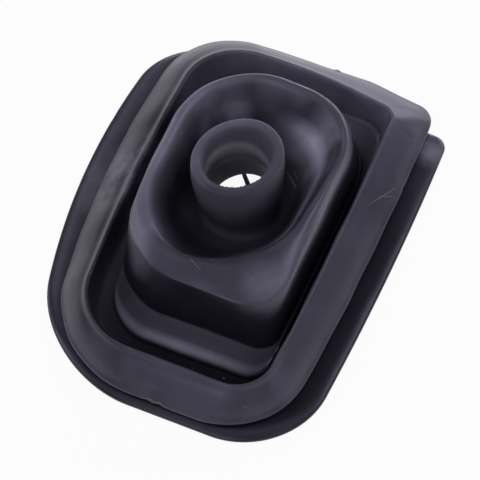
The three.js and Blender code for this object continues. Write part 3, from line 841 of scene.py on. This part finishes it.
def rubber_material():
    """Black rubber with a violet cast, fine grain, uneven gloss, painted light and shade on its
    faces and grey spots of painted light.
    """
    material = bpy.data.materials.new("rubber")
    material.use_nodes = True
    nodes, links = material.node_tree.nodes, material.node_tree.links
    shader = nodes["Principled BSDF"]
    shader.inputs["Specular Tint"].default_value = SHEEN_TINT
    place = nodes.new("ShaderNodeTexCoord").outputs["Object"]

    bump = nodes.new("ShaderNodeBump")
    bump.inputs["Strength"].default_value = GRAIN_STRENGTH
    bump.inputs["Distance"].default_value = GRAIN_DEPTH
    links.new(noise(nodes, links, place, *GRAIN_NOISE), bump.inputs["Height"])
    links.new(bump.outputs["Normal"], shader.inputs["Normal"])

    # Grey spots of painted light, made patchy by noise
    spots = [spot(nodes, links, place, middle, reach * PAINTED_LIGHT_SPOT_FULL, reach, strength)
             for middle, reach, strength in PAINTED_LIGHT_SPOTS]
    light_spots = join_masks(nodes, links, spots, "MAXIMUM")
    light_spot_patches = patches(nodes, links, place, PAINTED_LIGHT_SPOT_PATCHES)
    light_spots = join_masks(nodes, links, [light_spots, light_spot_patches], "MULTIPLY")

    # Light and shade painted on the rows, made patchy by noise
    paint_light = nodes.new("ShaderNodeAttribute")
    paint_light.attribute_name = "painted_light_and_shade"
    painted_light_patches = patches(nodes, links, place, PAINTED_LIGHT_PATCHES)
    painted_light = join_masks(nodes, links, [paint_light.outputs["Fac"], painted_light_patches], "MULTIPLY")
    tone = blend_colour(nodes, links, painted_light, RUBBER_COLOUR, PAINTED_LIGHT_COLOUR)
    tone = blend_colour(nodes, links, light_spots, tone, PAINTED_LIGHT_SPOT_COLOUR)
    links.new(tone, shader.inputs["Base Color"])

    dull_spots = [spot(nodes, links, place, middle, full, end) for middle, full, end in DULL_PLACES]
    dull = join_masks(nodes, links, dull_spots, "MAXIMUM")
    roughness = patches(nodes, links, place, GLOSS_PATCHES)
    for mask, share in ((light_spots, PAINTED_LIGHT_SPOT_ROUGHNESS), (painted_light, PAINTED_LIGHT_ROUGHNESS), (dull, DULL_ROUGHNESS)):
        rougher = nodes.new("ShaderNodeMath")
        rougher.operation = "MULTIPLY_ADD"
        rougher.inputs[1].default_value = share
        links.new(mask, rougher.inputs[0])
        links.new(roughness, rougher.inputs[2])
        roughness = rougher.outputs[0]
    links.new(roughness, shader.inputs["Roughness"])
    reflection = spread(nodes, links, dull, 0, 1, PLAIN_REFLECTION, DULL_REFLECTION)
    links.new(reflection, shader.inputs["Specular IOR Level"])
    return material


# Soft lamps round the rubber: azimuth from the rear towards the right and height above the floor
# in degrees, size in metres, watts. The powers were fitted to the tones of the photograph.
LAMPS = [(350, 19, 0.30, 2.7), (330, 19, 0.30, 1.1), (270, 19, 0.25, 0.8), (250, 31, 0.28, 1.2),
         (15, 15, 0.45, 2.3), (90, 15, 0.45, 0.55), (135, 15, 0.45, 0.3), (180, 15, 0.45, 0.5),
         (225, 15, 0.45, 0.4), (60, 45, 0.40, 1.4), (120, 45, 0.40, 0.8), (180, 45, 0.40, 1.8),
         (240, 45, 0.40, 0.6), (300, 45, 0.40, 0.7), (90, 68, 0.35, 0.35), (210, 68, 0.35, 0.4),
         (0, 90, 0.35, 0.4)]
LAMP_AWAY = 1.0
LAMP_COLOUR = (0.97, 0.95, 1.0)
LAMP_TARGET = (0, 0, 0.01)

# Floor in metres: half its width and how far it lies below the part, so that the two don't touch.
# The glow is the share of its white that only the camera and reflections see.
FLOOR_HALF = 3.0
FLOOR_GAP = 0.0003
FLOOR_COLOUR = (0.86, 0.86, 0.86, 1)
FLOOR_ROUGHNESS = 0.9
FLOOR_REFLECTION = 0.1
FLOOR_GLOW = 0.94


def lamp(name, azimuth, height, size, power):
    """Square lamp on the sphere round the rubber, turned to its middle."""
    light = bpy.data.lights.new(name, "AREA")
    light.shape = "SQUARE"
    light.size = size
    light.energy = power
    light.color = LAMP_COLOUR
    obj = bpy.data.objects.new(name, light)
    around, up = math.radians(azimuth), math.radians(height)
    obj.location = Vector((math.cos(up) * math.sin(around), math.cos(up) * math.cos(around),
                           math.sin(up))) * LAMP_AWAY
    obj.rotation_euler = (Vector(LAMP_TARGET) - obj.location).to_track_quat("-Z", "Y").to_euler()
    bpy.context.scene.collection.objects.link(obj)


def studio():
    """White floor, a world that only the camera sees, and soft lamps."""
    mesh = bpy.data.meshes.new("floor")
    corners = [(-FLOOR_HALF, -FLOOR_HALF, 0), (FLOOR_HALF, -FLOOR_HALF, 0),
               (FLOOR_HALF, FLOOR_HALF, 0), (-FLOOR_HALF, FLOOR_HALF, 0)]
    mesh.from_pydata(corners, [], [(0, 1, 2, 3)])
    floor = bpy.data.objects.new("floor", mesh)
    floor.location = (0, 0, -FLOOR_GAP)
    bpy.context.scene.collection.objects.link(floor)
    mesh.materials.append(floor_material())

    world = bpy.data.worlds.new("studio")
    bpy.context.scene.world = world
    world.use_nodes = True
    nodes, links = world.node_tree.nodes, world.node_tree.links
    seen = nodes.new("ShaderNodeLightPath")
    links.new(seen.outputs["Is Camera Ray"], nodes["Background"].inputs["Strength"])
    nodes["Background"].inputs["Color"].default_value = WHITE
    for number, (azimuth, height, size, power) in enumerate(LAMPS):
        lamp("lamp_%d" % number, azimuth, height, size, power)


def floor_material():
    """White floor; most of its white is a glow that only the camera and reflections see."""
    material = bpy.data.materials.new("floor")
    material.use_nodes = True
    nodes, links = material.node_tree.nodes, material.node_tree.links
    diffuse = nodes["Principled BSDF"]
    diffuse.inputs["Base Color"].default_value = FLOOR_COLOUR
    diffuse.inputs["Roughness"].default_value = FLOOR_ROUGHNESS
    diffuse.inputs["Specular IOR Level"].default_value = FLOOR_REFLECTION
    glow = nodes.new("ShaderNodeEmission")
    glow.inputs["Color"].default_value = WHITE
    path = nodes.new("ShaderNodeLightPath")
    seen = nodes.new("ShaderNodeMath")
    seen.operation = "MAXIMUM"
    links.new(path.outputs["Is Camera Ray"], seen.inputs[0])
    links.new(path.outputs["Is Glossy Ray"], seen.inputs[1])
    share = nodes.new("ShaderNodeMath")
    share.operation = "MULTIPLY"
    share.inputs[1].default_value = FLOOR_GLOW
    links.new(seen.outputs[0], share.inputs[0])
    blend = nodes.new("ShaderNodeMixShader")
    links.new(share.outputs[0], blend.inputs["Fac"])
    links.new(diffuse.outputs["BSDF"], blend.inputs[1])
    links.new(glow.outputs["Emission"], blend.inputs[2])
    links.new(blend.outputs["Shader"], nodes["Material Output"].inputs["Surface"])
    return material


# Camera measured from the photograph: angles in degrees, distance and the width of a pixel at the
# aim in metres, the point that it aims at and the pixel where that point lies
VIEW_ELEVATION = 60.0
VIEW_YAW = 23.6
VIEW_ROLL = -1.0
VIEW_DISTANCE = 0.800
PIXEL = 0.374 * MM
FRAME = 480.0
AIM = (7.8 * MM, -4.5 * MM, 0.0)
AIM_PIXEL = (245.0, 250.0)
SENSOR = 36.0


def photo_camera():
    """Camera that sees the part from the side and in the frame of the photograph."""
    elevation, yaw, roll = (math.radians(a) for a in (VIEW_ELEVATION, VIEW_YAW, VIEW_ROLL))
    turn = Matrix(((math.cos(yaw), math.sin(yaw), 0), (-math.sin(yaw), math.cos(yaw), 0),
                   (0, 0, 1)))
    right = Vector((1, 0, 0))
    forward = Vector((0, math.cos(elevation), -math.sin(elevation)))
    up = right.cross(forward)
    rolled_right = right * math.cos(roll) + up * math.sin(roll)
    rolled_up = up * math.cos(roll) - right * math.sin(roll)
    back = turn.transposed()
    axes = [back @ rolled_right, back @ rolled_up, -(back @ forward)]
    place = Vector(AIM) + axes[2] * VIEW_DISTANCE
    matrix = Matrix([[axes[c][r] for c in range(3)] + [place[r]] for r in range(3)]
                    + [[0, 0, 0, 1]])
    lens = bpy.data.cameras.new("camera")
    lens.sensor_width = SENSOR
    lens.lens = VIEW_DISTANCE / PIXEL / FRAME * SENSOR
    lens.shift_x = (FRAME / 2 - AIM_PIXEL[0]) / FRAME
    lens.shift_y = (AIM_PIXEL[1] - FRAME / 2) / FRAME
    camera = bpy.data.objects.new("camera", lens)
    camera.matrix_world = matrix
    bpy.context.scene.collection.objects.link(camera)
    bpy.context.scene.camera = camera


section, angles = build_section(), shared_angles()
rows, painted_light = smooth_rows(row_points(section, angles), row_painted_light(section, angles))
rows = ragged_mouth(uneven(pull_corner(soften(rows))))
rubber = rubber_material()
gaiter = grid_mesh("gaiter_rubber", rows)
gaiter.data.materials.append(rubber)
# Painted light and shade of each point, which pales the rubber's colour
painted_light_points = gaiter.data.attributes.new("painted_light_and_shade", "FLOAT", "POINT")
painted_light_points.data.foreach_set("value", painted_light.astype(np.float32).ravel())
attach(gaiter, "root")
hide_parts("gaiter")

flash = joined_mesh("gaiter_flash", [tube_parts(FLASH_PATH, FLASH_RADII, FLASH_SIDES)])
flash.data.materials.append(rubber)
marks = surface_marks("gaiter_marks", gaiter)
marks.data.materials.append(mark_material())
for piece in (flash, marks):
    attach(piece, "root")

studio()
photo_camera()
bpy.context.scene.view_settings.view_transform = "Standard"
